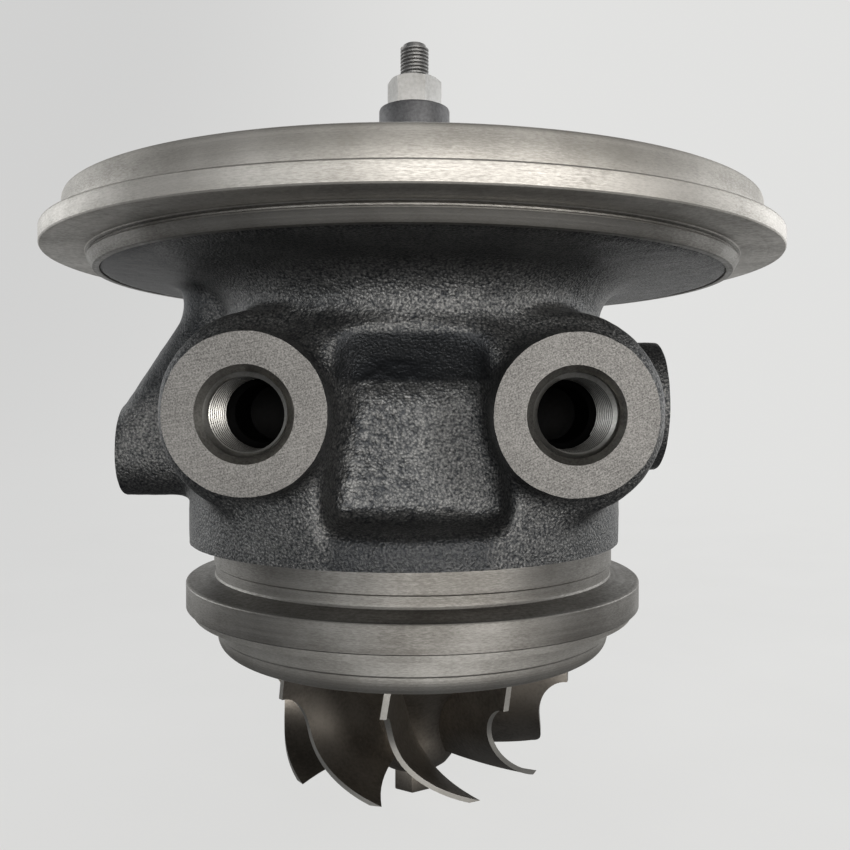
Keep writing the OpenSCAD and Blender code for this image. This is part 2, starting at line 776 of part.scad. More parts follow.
module compressor_hub_solid() {
    rotate_extrude()
        polygon(concat(
            [[stub_r + fit_gap, sleeve_top], [10, sleeve_top], [11, wheel_back], [wheel_r, wheel_back],
             [wheel_r, wheel_back + disc_t]],
            [for (i = [1:14]) let (t = 90 - i * 90 / 15)
                [wheel_r - (wheel_r - wheel_nose_r) * cos(t),
                 inducer_z + 1 - (inducer_z + 1 - wheel_back - disc_t) * sin(t)]],
            [[wheel_nose_r, inducer_z + 1], [wheel_nose_r, wheel_top - 0.6],
             [wheel_nose_r - 0.6, wheel_top], [stub_r + fit_gap, wheel_top]]));
}

module compressor_wheel() {
    step = 360 / compressor_blades;
    color([0.3, 0.3, 0.31])
    union() {
        compressor_hub_solid();
        for (i = [0:compressor_blades - 1]) {
            rotate([0, 0, i * step])
                blade_solid(compressor_grid(13, 4, 0, 1), compressor_grid(13, 4, 0, -1), 13, 4);
            rotate([0, 0, (i + 0.5) * step])
                blade_solid(compressor_grid(9, 4, 0.34, 1), compressor_grid(9, 4, 0.34, -1), 9, 4);
        }
    }
}

module shaft_nut() {
    corner_r = nut_af / 2 / cos(30);
    color([0.7, 0.7, 0.7])
    difference() {
        intersection() {
            translate([0, 0, wheel_top])
                rotate([0, 0, nut_turn])
                    cylinder(r = corner_r, h = nut_h, $fn = 6);
            translate([0, 0, wheel_top])
                rotate_extrude()
                    polygon([[0, 0], [corner_r - 0.5, 0], [corner_r + 0.1, 0.35],
                        [corner_r + 0.1, nut_h - 0.6], [corner_r - 0.9, nut_h], [0, nut_h]]);
        }
        translate([0, 0, wheel_top - 1])
            cylinder(r = thread_r + fit_gap, h = nut_h + 2);
    }
}

bearing_housing();
heat_shield();
turbine_wheel();
rotor_shaft();
turbine_seal_ring();
turbine_bush();
compressor_bush();
bush_circlips();
thrust_washer();
thrust_collar();
thrust_bearing();
thrust_screws();
oil_deflector();
seal_plate();
seal_plate_o_ring();
seal_plate_circlip();
seal_sleeve();
compressor_seal_ring();
compressor_wheel();
shaft_nut();
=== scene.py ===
"""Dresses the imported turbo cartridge: casting, flanges, bladed wheels, threads, finishes and studio."""

from __future__ import annotations

import logging
import math
from collections.abc import Callable, Iterable, Sequence
from dataclasses import dataclass, field
from enum import Enum
from functools import cache

import bmesh
import bpy
from mathutils import Matrix, Vector, noise


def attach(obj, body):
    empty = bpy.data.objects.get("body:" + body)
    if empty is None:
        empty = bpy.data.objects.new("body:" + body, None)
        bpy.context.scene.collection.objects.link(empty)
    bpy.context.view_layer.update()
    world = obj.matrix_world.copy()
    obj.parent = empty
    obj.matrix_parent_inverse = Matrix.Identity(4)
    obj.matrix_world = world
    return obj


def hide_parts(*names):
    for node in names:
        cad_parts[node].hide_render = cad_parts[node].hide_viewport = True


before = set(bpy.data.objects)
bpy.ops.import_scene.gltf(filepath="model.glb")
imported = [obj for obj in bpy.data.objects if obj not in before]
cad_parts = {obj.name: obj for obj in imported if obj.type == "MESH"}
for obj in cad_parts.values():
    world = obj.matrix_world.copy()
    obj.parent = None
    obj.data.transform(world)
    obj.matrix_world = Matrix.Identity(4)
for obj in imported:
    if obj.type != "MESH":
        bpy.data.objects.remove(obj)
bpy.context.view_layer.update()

MM = 0.001
LOG = logging.getLogger("cartridge")
Colour = tuple[float, float, float]
Point = tuple[float, float, float]
Span = tuple[float, float]
Profile = Sequence[Span]
Mesh = bmesh.types.BMesh
Object = bpy.types.Object
Material = bpy.types.Material


class Body(Enum):
    """CAD bodies that pieces ride on."""

    HOUSING = "housing"
    ROTOR = "rotor"


class Along(Enum):
    """Direction that a turned cutter or boss points."""

    BACK = "+Y"
    RIGHT = "+X"
    LEFT = "-X"
    UP = "+Z"

    def matrix(self, place: Point) -> Matrix:
        """Gives the matrix that turns a shape from +Z and puts its origin at a place in millimetres."""
        turns = {
            Along.BACK: Matrix.Rotation(-math.pi / 2, 4, "X"),
            Along.RIGHT: Matrix.Rotation(math.pi / 2, 4, "Y"),
            Along.LEFT: Matrix.Rotation(-math.pi / 2, 4, "Y"),
            Along.UP: Matrix.Identity(4),
        }
        return Matrix.Translation(Vector(place) * MM) @ turns[self]


class Sock:
    """One socket of a shader, with operators that add Math nodes."""

    def __init__(self, shade: Shade, socket: bpy.types.NodeSocket) -> None:
        """Keeps the shader and its socket."""
        self.shade = shade
        self.socket = socket

    def _math(self, operation: str, a: Sock | float, b: Sock | float) -> Sock:
        """Adds one Math node."""
        return self.shade.node("ShaderNodeMath", {"operation": operation}, {0: a, 1: b})

    def __add__(self, other: Sock | float) -> Sock:
        """Adds."""
        return self._math("ADD", self, other)

    __radd__ = __add__

    def __sub__(self, other: Sock | float) -> Sock:
        """Subtracts."""
        return self._math("SUBTRACT", self, other)

    def __rsub__(self, other: float) -> Sock:
        """Subtracts from a number."""
        return self._math("SUBTRACT", other, self)

    def __mul__(self, other: Sock | float) -> Sock:
        """Multiplies."""
        return self._math("MULTIPLY", self, other)

    def root(self) -> Sock:
        """Takes the square root."""
        return self._math("SQRT", self, 0.0)

    def ease(self, low: float, high: float) -> Sock:
        """Goes smoothly from 0 at low to 1 at high."""
        return self.shade.node(
            "ShaderNodeMapRange",
            {"interpolation_type": "SMOOTHSTEP"},
            {"Value": self, "From Min": low, "From Max": high, "To Min": 0.0, "To Max": 1.0},
        )

    def band(self, span_mm: Span) -> Sock:
        """Goes smoothly from 0 at the first place of a span to 1 at the second, both in millimetres."""
        return self.ease(span_mm[0] * MM, span_mm[1] * MM)

    def inside(self, span_mm: Span) -> Sock:
        """Does the same by the distance from 0 on either side."""
        return (self * self).ease((span_mm[0] * MM) ** 2, (span_mm[1] * MM) ** 2)


class Shade:
    """A node material under construction."""

    def __init__(self, name: str) -> None:
        """Starts a material with one Principled shader.

        Args:
            name: The material's name.
        """
        self.material = bpy.data.materials.new(name)
        self.material.use_nodes = True
        self.tree = self.material.node_tree
        self.shader = self.tree.nodes["Principled BSDF"]
        self.place = self.node("ShaderNodeTexCoord", {}, {}, "Object")

    def node(self, kind: str, settings: dict, values: dict, out: int | str = 0) -> Sock:
        """Adds one node.

        Args:
            kind: Blender's name of the node's type.
            settings: Attributes, set before the sockets.
            values: Numbers, colours or links by socket name or number.
            out: Name or number of the output wanted.

        Returns:
            The output socket.
        """
        made = self.tree.nodes.new(kind)
        for key, value in settings.items():
            setattr(made, key, value)
        for key, value in values.items():
            if isinstance(value, Sock):
                self.tree.links.new(value.socket, made.inputs[key])
            else:
                made.inputs[key].default_value = value
        return Sock(self, made.outputs[out])

    def axes(self) -> tuple[Sock, ...]:
        """Splits the object place into X, Y and Z."""
        split = self.node("ShaderNodeSeparateXYZ", {}, {"Vector": self.place})
        return tuple(Sock(self, out) for out in split.socket.node.outputs)

    def at(self, x: Sock | float, y: Sock | float, z: Sock | float) -> Sock:
        """Joins three values into coordinates."""
        return self.node("ShaderNodeCombineXYZ", {}, {0: x, 1: y, 2: z})

    def radius(self) -> Sock:
        """Gives the distance from the shaft's axis."""
        x, y, _ = self.axes()
        return (x * x + y * y).root()

    def grain(self, size_mm: float, detail: float = 3.0, rough: float = 0.55, at: Sock | None = None) -> Sock:
        """Adds a noise of about 0 to 1 with spots of about a size, at the object's own place or another."""
        values = {"Vector": at or self.place, "Scale": 1000.0 / size_mm, "Detail": detail, "Roughness": rough}
        return self.node("ShaderNodeTexNoise", {}, values, 0)

    def cells(self, size_mm: float) -> Sock:
        """Adds the distance to the nearest of many scattered points, in cells."""
        values = {"Vector": self.place, "Scale": 1000.0 / size_mm}
        return self.node("ShaderNodeTexVoronoi", {}, values, "Distance")

    def rings(self, pitch_mm: float) -> Sock:
        """Adds the fine lines that a lathe leaves, the same all the way round the shaft."""
        _, _, z = self.axes()
        return self.grain(pitch_mm, 2.0, 0.6, self.at(self.radius(), z, 0.0))

    def mix(self, a: Colour | Sock, b: Colour | Sock, share: Sock) -> Sock:
        """Mixes two colours, the first where the share is 0 and the second where it is 1."""
        pair = [c if isinstance(c, Sock) else (*c, 1.0) for c in (a, b)]
        return self.node("ShaderNodeMix", {"data_type": "RGBA"}, {0: share, 6: pair[0], 7: pair[1]}, 2)

    def bump(self, height: Sock, depth_mm: float, strength: float) -> Sock:
        """Gives the normal bumped by a height, from the depth of a height of 1 and the share that shows."""
        values = {"Strength": strength, "Distance": depth_mm * MM, "Height": height}
        return self.node("ShaderNodeBump", {}, values)

    def done(self, colour: Sock, rough: Sock, metal: float, normal: Sock | None) -> Material:
        """Links the shader.

        Args:
            colour: Base colour.
            rough: Roughness.
            metal: Metallic share, the same all over.
            normal: Bumped normal, if any.

        Returns:
            The finished material.
        """
        self.tree.links.new(colour.socket, self.shader.inputs["Base Color"])
        self.tree.links.new(rough.socket, self.shader.inputs["Roughness"])
        self.shader.inputs["Metallic"].default_value = metal
        if normal is not None:
            self.tree.links.new(normal.socket, self.shader.inputs["Normal"])
        return self.material


@dataclass(frozen=True)
class SandCast:
    """Black rough casting with lighter grains, which are grain tone and painted glints, and painted shade in
    the pocket's corners, on its floor and on the rib.

    The spans are places in millimetres between which the painted shade, and in the pocket the coarser grain,
    come in.
    """

    name: str = "sand_cast_black"
    dark: Colour = (0.028, 0.03, 0.033)
    light: Colour = (0.30, 0.297, 0.287)
    grain_mm: float = 0.46
    lump_mm: float = 1.2
    pocket_back: Span = (-28.0, -30.0)
    floor_front: Span = (-38.0, -36.2)
    floor_edge: Span = (17.3205, 15.8114)
    floor_side: Span = (8.0, -3.0)
    roof_low: Span = (44.5, 45.8)
    roof_top: Span = (54.0, 53.0)
    roof_front: Span = (-41.4, -40.2)
    sill_top: Span = (19.5, 18.0)
    sill_back: Span = (-30.0, -34.0)
    shade_edge: Span = (15.1658, 12.2474)
    rib_side: Span = (-41.0, -44.5)
    rib_low: Span = (38.0, 46.0)

    def paint(self) -> Material:
        """Makes the material."""
        s = Shade(self.name)
        x, y, z = s.axes()
        # hollow marks the pocket floor, with coarser grain and painted shade there; roof, sill and rib are
        # painted shade
        back = y.band(self.pocket_back)
        hollow = y.band(self.floor_front) * back * x.inside(self.floor_edge) * x.band(self.floor_side)
        roof = z.band(self.roof_low) * z.band(self.roof_top) * y.band(self.roof_front) * back
        sill = z.band(self.sill_top) * y.band(self.sill_back)
        rib = x.band(self.rib_side) * z.band(self.rib_low)
        shade = (roof + sill * 0.8) * x.inside(self.shade_edge) + rib * 0.8 + hollow * 0.26
        small = s.grain(self.grain_mm, 4.0, 0.6)
        coarse = small + (s.grain(self.lump_mm, 3.0, 0.6) - small) * hollow
        fine = s.grain(self.grain_mm * 0.35, 2.0, 0.5)
        lumps = s.cells(self.grain_mm * 1.1)
        height = coarse * 0.72 + fine * 0.16 + (1.0 - lumps) * 0.3
        cloud = s.grain(12.0, 3.0)
        # lighter grains follow the bump height: grain tone and painted glints
        bare = s.mix(self.dark, self.light, (height * 0.85 + cloud * 0.22).ease(0.42, 1.0))
        # the masks pull the colour towards the dark colour: painted shade
        colour = s.mix(bare, self.dark, shade * 0.85)
        rough = 0.41 + fine.ease(0.3, 0.8) * 0.12
        return s.done(colour, rough, 0.9, s.bump(height, 0.3, 1.0))


@dataclass(frozen=True)
class Turned:
    """Steel or iron with lathe lines round the shaft, stains and small pores."""

    name: str = "turned_iron"
    base: Colour = (0.42, 0.405, 0.38)
    stain: Colour = (0.20, 0.19, 0.172)
    rough: float = 0.36
    line_mm: float = 0.35
    line_depth_mm: float = 0.03
    pores: float = 0.5

    def paint(self) -> Material:
        """Makes the material."""
        s = Shade(self.name)
        lines = s.rings(self.line_mm)
        bands = s.rings(2.6)
        cloud = s.grain(14.0, 4.0)
        speck = s.cells(2.3).ease(0.10, 0.05) * s.grain(7.0).ease(0.5, 0.65) * self.pores
        x, y, z = s.axes()
        streak = s.grain(0.9, 3.0, 0.7, s.at(x, y, z * 5.0))
        worn = s.mix(self.base, self.stain, (cloud * 0.6 + bands * 0.35 + streak * 0.5).ease(0.5, 0.95))
        colour = s.mix(worn, (0.05, 0.045, 0.04), speck)
        rough = self.rough + lines.ease(0.2, 0.8) * 0.1 + streak.ease(0.3, 0.7) * 0.12 + cloud * 0.06
        relief = lines * 0.6 + streak * 0.7 + speck * -1.5
        return s.done(colour, rough, 1.0, s.bump(relief, self.line_depth_mm, 0.35))


@dataclass(frozen=True)
class Faced:
    """Milled iron face with a granular surface and fine curved tool marks."""

    name: str = "faced_iron"
    base: Colour = (0.28, 0.272, 0.26)
    grain: Colour = (0.045, 0.043, 0.041)
    mark_mm: float = 0.28
    sweep_z_mm: float = 250.0

    def paint(self) -> Material:
        """Makes the material."""
        s = Shade(self.name)
        x, _, z = s.axes()
        drop = z - self.sweep_z_mm * MM
        sweep = (x * x + drop * drop).root() + x * 0.35
        marks = s.grain(self.mark_mm, 1.0, 0.5, s.at(sweep, 0.0, 0.0))
        fine = s.grain(0.27, 3.0, 0.75)
        cloud = s.grain(9.0, 3.0)
        colour = s.mix(self.base, self.grain, (fine * 0.85 + marks * 0.25 + cloud * 0.15).ease(0.35, 0.95))
        rough = 0.56 + fine * 0.16
        return s.done(colour, rough, 0.92, s.bump(marks * 0.6 + fine * 0.8, 0.05, 0.5))


@dataclass(frozen=True)
class Plain:
    """Metal, rubber or bronze with a fine mottle and lathe lines."""

    name: str
    base: Colour
    shade: Colour
    rough: float
    metal: float
    grain_mm: float = 1.0
    depth_mm: float = 0.02
    lines: float = 0.5

    def paint(self) -> Material:
        """Makes the material."""
        s = Shade(self.name)
        mottle = s.grain(self.grain_mm, 4.0, 0.6)
        cloud = s.grain(self.grain_mm * 9.0, 3.0)
        lines = s.rings(0.3)
        colour = s.mix(self.base, self.shade, (mottle * 0.6 + cloud * 0.5).ease(0.4, 0.8))
        rough = self.rough + mottle * 0.12 + lines * (0.08 * self.lines)
        return s.done(colour, rough, self.metal, s.bump(mottle + lines * self.lines, self.depth_mm, 0.4))


@dataclass(frozen=True)
class Paper:
    """Pale studio paper that glows, with painted shade towards the left and painted light farther out. Lamps
    light only its near part, so the sweep shows no patches.
    """

    name: str = "pale_floor"
    near: tuple[Colour, Colour] = ((0.75, 0.75, 0.74), (0.72, 0.72, 0.71))
    away: Colour = (0.84, 0.84, 0.83)
    left_shade: tuple[Colour, Colour] = ((0.62, 0.62, 0.615), (0.71, 0.71, 0.705))
    lit: tuple[Colour, Colour] = ((0.2, 0.2, 0.198), (0.18, 0.18, 0.178))
    unlit: Colour = (0.0, 0.0, 0.0)
    glow: float = 0.90
    lit_mm: Span = (300.0, 547.7226)
    left_shade_mm: Span = (150.0, -500.0)

    def paint(self) -> Material:
        """Makes the material."""
        s = Shade(self.name)
        cloud = s.grain(60.0, 3.0)
        x, y, _ = s.axes()
        start, end = ((r * MM) ** 2 for r in self.lit_mm)
        far = (x * x + y * y).ease(start, end)
        # farther out the glow rises to the brighter far colour: painted light in place of the lamps' light
        pale = s.mix(s.mix(*self.near, cloud), self.away, far)
        # towards the left the glow falls to darker colours: painted shade
        glow = s.mix(pale, s.mix(*self.left_shade, far), x.band(self.left_shade_mm))
        s.tree.links.new(glow.socket, s.shader.inputs["Emission Color"])
        s.shader.inputs["Emission Strength"].default_value = self.glow
        s.shader.inputs["Specular IOR Level"].default_value = 0.0
        return s.done(s.mix(s.mix(*self.lit, cloud), self.unlit, far), 0.7 + cloud * 0.1, 0.0, None)


Finish = SandCast | Turned | Faced | Plain | Paper
CASTING = SandCast()
# one turned iron in two copies; the darker copy is painted shade on the step under the rim and on the turbine
# collar
TURNED = Turned("turned_flange", (0.52, 0.50, 0.468), (0.29, 0.277, 0.253), 0.40)
SHADED_TURNED = Turned("turned_iron_painted_shade", (0.28, 0.272, 0.256), (0.13, 0.123, 0.112))
FACED = Faced()
BORE = Plain("bored_iron", (0.20, 0.195, 0.18), (0.09, 0.085, 0.08), 0.36, 0.95, 0.4, 0.03)
# near-black painted shade for the far ends of the bores and the crests of the port threads
PAINTED_SHADE = Plain("shaded_core", (0.006, 0.006, 0.006), (0.01, 0.01, 0.01), 0.6, 1.0, 0.8, 0.05, 0.0)
# a lighter copy of the bored iron: painted highlight on the thread flanks
CUT_THREAD = Plain("cut_thread", (0.30, 0.295, 0.28), (0.20, 0.195, 0.18), 0.34, 1.0, 0.5, 0.01, 0.0)
SHIELD = Turned("pressed_sheet", (0.33, 0.323, 0.305), (0.20, 0.192, 0.178), 0.50, 0.6, 0.025, 0.25)
TURBINE = Plain("cast_nickel_alloy", (0.225, 0.205, 0.18), (0.13, 0.117, 0.10), 0.42, 1.0, 0.7, 0.03, 0.0)
GROUND = Plain("ground_edge", (0.54, 0.525, 0.49), (0.42, 0.405, 0.375), 0.36, 1.0, 0.5, 0.01, 0.3)
# the dark base is painted reflection of a dark surround on light cast aluminium
WHEEL = Plain("cast_aluminium_painted_reflection", (0.24, 0.24, 0.245), (0.13, 0.13, 0.135), 0.42, 0.9, 0.6, 0.02, 0.6)
THREAD = Plain("dark_thread", (0.36, 0.355, 0.35), (0.20, 0.20, 0.195), 0.36, 0.95, 0.5, 0.01, 0.2)
NUT = Plain("nut_steel", (0.52, 0.515, 0.50), (0.37, 0.36, 0.345), 0.38, 1.0, 0.8, 0.02, 0.3)
STEEL = Plain("ground_steel", (0.48, 0.48, 0.48), (0.36, 0.36, 0.36), 0.22, 1.0, 0.8, 0.01)
BRONZE = Plain("bearing_bronze", (0.55, 0.36, 0.14), (0.40, 0.25, 0.09), 0.3, 1.0)
SPRING = Plain("spring_steel", (0.07, 0.07, 0.075), (0.04, 0.04, 0.04), 0.38, 0.8)
IRON_RING = Plain("ring_iron", (0.28, 0.28, 0.28), (0.18, 0.18, 0.18), 0.3, 1.0)
RUBBER = Plain("seal_rubber", (0.015, 0.015, 0.015), (0.03, 0.03, 0.03), 0.55, 0.0, 0.4, 0.02, 0.0)
PAPER = Paper()


@cache
def painted(finish: Finish) -> Material:
    """Gives the material of a finish, made the first time it is asked for."""
    return finish.paint()


def arc(cx: float, cz: float, r: float, start: float, end: float, count: int) -> list[Span]:
    """Gives the points of an arc round (cx, cz), both ends included, from angles in degrees."""
    angles = [math.radians(start + (end - start) * i / count) for i in range(count + 1)]
    return [(cx + r * math.cos(a), cz + r * math.sin(a)) for a in angles]


def turn(profile: Profile, steps: int = 192, matrix: Matrix | None = None) -> Mesh:
    """Spins a closed outline round Z.

    Args:
        profile: Radius and height of each corner, in millimetres.
        steps: Facets round the axis.
        matrix: Where the turned shape goes.

    Returns:
        The closed mesh, normals outwards.
    """
    bm = bmesh.new()
    verts = [bm.verts.new((r * MM, 0.0, z * MM)) for r, z in profile]
    edges = [bm.edges.new((a, b)) for a, b in zip(verts, verts[1:] + verts[:1])]
    bmesh.ops.spin(
        bm, geom=verts + edges, cent=(0, 0, 0), axis=(0, 0, 1), angle=2 * math.pi, steps=steps, use_merge=True
    )
    bmesh.ops.remove_doubles(bm, verts=bm.verts, dist=1e-6)
    loose = [e for e in bm.edges if not e.link_faces]
    bmesh.ops.delete(bm, geom=loose, context="EDGES")
    bmesh.ops.recalc_face_normals(bm, faces=bm.faces)
    if matrix is not None:
        bmesh.ops.transform(bm, matrix=matrix, verts=bm.verts)
    return bm


def join(parts: Iterable[Mesh]) -> Mesh:
    """Puts several meshes into one and frees them.

    Args:
        parts: The meshes.

    Returns:
        One mesh that holds them all.
    """
    whole = bmesh.new()
    for part in parts:
        held = bpy.data.meshes.new("held")
        part.to_mesh(held)
        part.free()
        whole.from_mesh(held)
        bpy.data.meshes.remove(held)
    return whole


def wrap(parts: Iterable[Mesh]) -> Mesh:
    """Stretches a convex skin over several meshes.

    Args:
        parts: The meshes.

    Returns:
        The skin alone.
    """
    bm = join(parts)
    made = bmesh.ops.convex_hull(bm, input=bm.verts)
    inner = {g for g in made["geom_interior"] + made["geom_unused"] if isinstance(g, bmesh.types.BMVert)}
    bmesh.ops.delete(bm, geom=list(inner), context="VERTS")
    keep = {g for g in made["geom"] if isinstance(g, bmesh.types.BMFace)}
    bmesh.ops.delete(bm, geom=[f for f in bm.faces if f not in keep], context="FACES_ONLY")
    bmesh.ops.recalc_face_normals(bm, faces=bm.faces)
    return bm


def rod(r: float, length: float, matrix: Matrix, segments: int = 64) -> Mesh:
    """Makes a plain cylinder along +Z from its own origin.

    Args:
        r: Radius in millimetres.
        length: Length in millimetres.
        matrix: Where it goes.
        segments: Facets round it.

    Returns:
        The cylinder.
    """
    bm = bmesh.new()
    lift = matrix @ Matrix.Translation((0, 0, length * MM / 2))
    bmesh.ops.create_cone(
        bm, cap_ends=True, segments=segments, radius1=r * MM, radius2=r * MM, depth=length * MM, matrix=lift
    )
    return bm


def block(low: Point, high: Point) -> Mesh:
    """Makes a box between two corners, for cutting.

    Args:
        low: Lowest corner in millimetres.
        high: Highest corner in millimetres.

    Returns:
        The box.
    """
    bm = bmesh.new()
    size = (Vector(high) - Vector(low)) * MM
    middle = (Vector(high) + Vector(low)) * MM / 2
    bmesh.ops.create_cube(bm, size=1.0, matrix=Matrix.Translation(middle) @ Matrix.Diagonal((*size, 1.0)))
    return bm


def to_object(bm: Mesh, name: str) -> Object:
    """Turns a mesh under construction into an object at the origin.

    Args:
        bm: The mesh, freed afterwards.
        name: The object's name.

    Returns:
        The object.
    """
    mesh = bpy.data.meshes.new(name)
    bm.to_mesh(mesh)
    bm.free()
    obj = bpy.data.objects.new(name, mesh)
    bpy.context.scene.collection.objects.link(obj)
    return obj


def add(obj: Object, parts: Iterable[Mesh]) -> None:
    """Adds meshes to an object's own.

    Args:
        obj: The object.
        parts: The meshes, freed afterwards.
    """
    own = bmesh.new()
    own.from_mesh(obj.data)
    whole = join([own, *parts])
    whole.to_mesh(obj.data)
    whole.free()


def bake(obj: Object) -> None:
    """Applies an object's modifiers to its mesh."""
    graph = bpy.context.evaluated_depsgraph_get()
    mesh = bpy.data.meshes.new_from_object(obj.evaluated_get(graph))
    mesh.materials.clear()
    old = obj.data
    obj.modifiers.clear()
    obj.data = mesh
    bpy.data.meshes.remove(old)


def remesh(obj: Object, voxel_mm: float) -> None:
    """Joins an object's overlapping shells into one even skin.

    Args:
        obj: The object.
        voxel_mm: Size of the new faces.
    """
    mod = obj.modifiers.new("skin", "REMESH")
    mod.mode = "VOXEL"
    mod.voxel_size = voxel_mm * MM
    bake(obj)


def cut(obj: Object, tool: Mesh) -> None:
    """Cuts a shape out of an object.

    Args:
        obj: The object.
        tool: The closed shape that is taken away.
    """
    cutter = to_object(tool, "cutter")
    mod = obj.modifiers.new("cut", "BOOLEAN")
    mod.operation = "DIFFERENCE"
    mod.solver = "MANIFOLD"
    mod.object = cutter
    bake(obj)
    bpy.data.meshes.remove(cutter.data)


def smooth(obj: Object, angle: float) -> None:
    """Shades an object smoothly, apart from edges sharper than an angle in degrees."""
    obj.data.shade_smooth()
    obj.data.set_sharp_from_angle(angle=math.radians(angle))


def settle(obj: Object, body: Body, finishes: Sequence[Finish], angle: float) -> None:
    """Gives a piece its finishes, its body and smooth shading.

    Args:
        obj: The piece.
        body: CAD body that it rides on.
        finishes: Finishes by face material number.
        angle: Edges sharper than this stay sharp, in degrees.
    """
    for finish in finishes:
        obj.data.materials.append(painted(finish))
    smooth(obj, angle)
    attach(obj, body.value)
    LOG.info("%s: %d faces", obj.name, len(obj.data.polygons))


@dataclass
class Port:
    """One threaded port: its place, direction and sizes in millimetres."""

    name: str
    along: Along
    face: Point
    mouth_r: float
    major_r: float
    minor_r: float
    depth: float
    core_r: float
    reach: float
    pitch: float = 1.5
    over: float = 1.5
    runout: float = 1.7
    sunk: float = 0.05

    @property
    def end(self) -> float:
        """Depth where the tapped length ends."""
        return self.mouth_r - self.minor_r + self.depth

    def tool(self) -> Mesh:
        """Makes the drilled and chamfered hole, for cutting."""
        point = self.core_r * 0.4
        mouth, major, core = self.mouth_r, self.major_r, self.core_r
        outline = [
            (0, -self.over), (mouth + 0.02, -self.over), (mouth, 0.0), (major, mouth - major),
            (major, self.end), (core, self.end + 1.0), (core, self.reach), (0, self.reach + point),
        ]
        return turn(outline, 72, self.along.matrix(self.face))

    def thread(self) -> Object:
        """Makes the thread's ridge inside the hole, from just under the face."""
        start = self.pitch * 0.48
        turns = (self.end - self.runout - start) / self.pitch
        matrix = self.along.matrix(self.face) @ Matrix.Rotation(math.pi * 1.5, 4, "Z")
        root_r = self.major_r + self.sunk
        return helix(
            f"{self.name}_thread", root_r, self.minor_r, self.pitch, turns, start, matrix, self.mouth_r
        )


def helix(
    name: str, root_r: float, crest_r: float, pitch: float, turns: float, start: float, matrix: Matrix,
    mouth_r: float = 0.0,
) -> Object:
    """Spins a thread's ridge along a helix round Z.

    Args:
        name: The piece's name.
        root_r: Radius of the ridge's foot.
        crest_r: Radius of its crest.
        pitch: Rise of one turn.
        turns: Number of turns.
        start: Height of the first turn.
        matrix: Where the thread goes.
        mouth_r: Radius of a chamfer at height 0 that cuts an inner thread, or 0.

    Returns:
        The thread's object.
    """
    bm = bmesh.new()
    foot, crest = pitch * 0.47, pitch * 0.17
    outline = [(root_r, -foot), (crest_r, -crest), (crest_r, crest), (root_r, foot)]
    verts = [bm.verts.new((r * MM, 0.0, (start + z) * MM)) for r, z in outline]
    face = bm.faces.new(verts)
    per_turn = 40
    steps = round(turns * per_turn)
    bmesh.ops.spin(
        bm, geom=[*verts, *face.edges, face], cent=(0, 0, 0), axis=(0, 0, 1),
        dvec=(0, 0, pitch * MM / per_turn), angle=2 * math.pi * steps / per_turn, steps=steps,
    )
    for v in bm.verts:
        r = math.hypot(v.co.x, v.co.y)
        cone = min(mouth_r - v.co.z / MM, root_r) * MM
        if r < cone:
            v.co.xy *= cone / r
    # crest faces take the second slot, which in the ports holds painted shade
    for f in bm.faces:
        off_crest = (abs(math.hypot(v.co.x, v.co.y) - crest_r * MM) for v in f.verts)
        f.material_index = int(max(off_crest) < 0.02 * MM)
    bmesh.ops.recalc_face_normals(bm, faces=bm.faces)
    bmesh.ops.transform(bm, matrix=matrix, verts=bm.verts)
    return to_object(bm, name)


def cartridge_ports() -> list[Port]:
    """Gives the two water ports, the oil inlet and the oil drain."""
    water = {"mouth_r": 8.15, "major_r": 7.0, "minor_r": 6.2, "depth": 16.0, "core_r": 5.4, "reach": 34.0}
    inlet = {"mouth_r": 6.2, "major_r": 6.0, "minor_r": 5.2, "depth": 12.0, "core_r": 2.5, "reach": 17.0}
    drain = {"mouth_r": 9.4, "major_r": 9.0, "minor_r": 8.2, "depth": 12.0, "core_r": 7.2, "reach": 36.0}
    return [
        Port("left_port", Along.BACK, (-26.9, -48.0, 39.4), **water),
        Port("right_port", Along.BACK, (26.9, -48.0, 39.4), **water),
        Port("inlet_port", Along.RIGHT, (-61.2, 0.0, 30.6), **inlet),
        Port("drain_port", Along.LEFT, (51.5, 0.0, 40.8), **drain),
    ]


